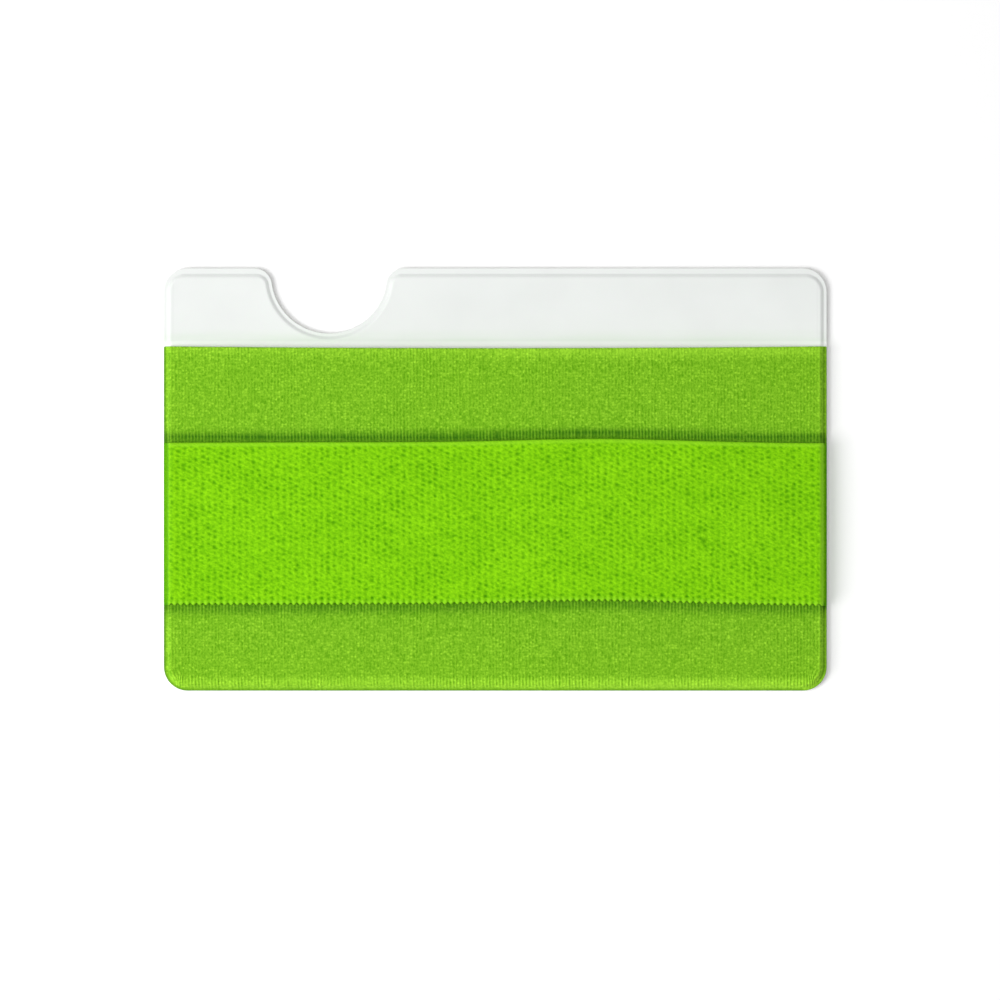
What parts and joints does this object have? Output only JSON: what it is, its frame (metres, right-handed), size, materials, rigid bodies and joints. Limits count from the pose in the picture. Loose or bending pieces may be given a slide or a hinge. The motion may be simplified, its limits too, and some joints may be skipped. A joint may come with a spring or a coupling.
{
  "type": "stick-on phone card holder",
  "caption": "Flat stick-on card pocket for the back of a phone: frosted plate with a thumb notch, stretch-cloth pocket and an elastic finger strap.",
  "frame": {"origin": "middle of the holder's outline, on the outer face of the release liner that it lies on", "axes": "+X to the right seen from the front, +Y towards the pocket's mouth and the thumb notch, +Z out of the front, away from the phone"},
  "size_m": [0.096, 0.0612, 0.0033],
  "materials": {
    "liner_paper": "smooth silicone-coated paper with a faint sheen",
    "adhesive": "pale translucent tacky film",
    "frosted_plastic": "milky translucent soft plastic, smooth, with a pressed rim",
    "stretch_cloth": "lime-green knitted stretch cloth with fine ribs and a satin sheen",
    "woven_elastic": "lime-green woven elastic with rows of small pits and a looped lower edge"
  },
  "bodies": {
    "root": {"release_liner": "liner_paper", "adhesive_pad": "adhesive", "back_plate": "frosted_plastic", "pocket_panel": "stretch_cloth", "finger_strap": "woven_elastic"}
  },
  "joints": []
}
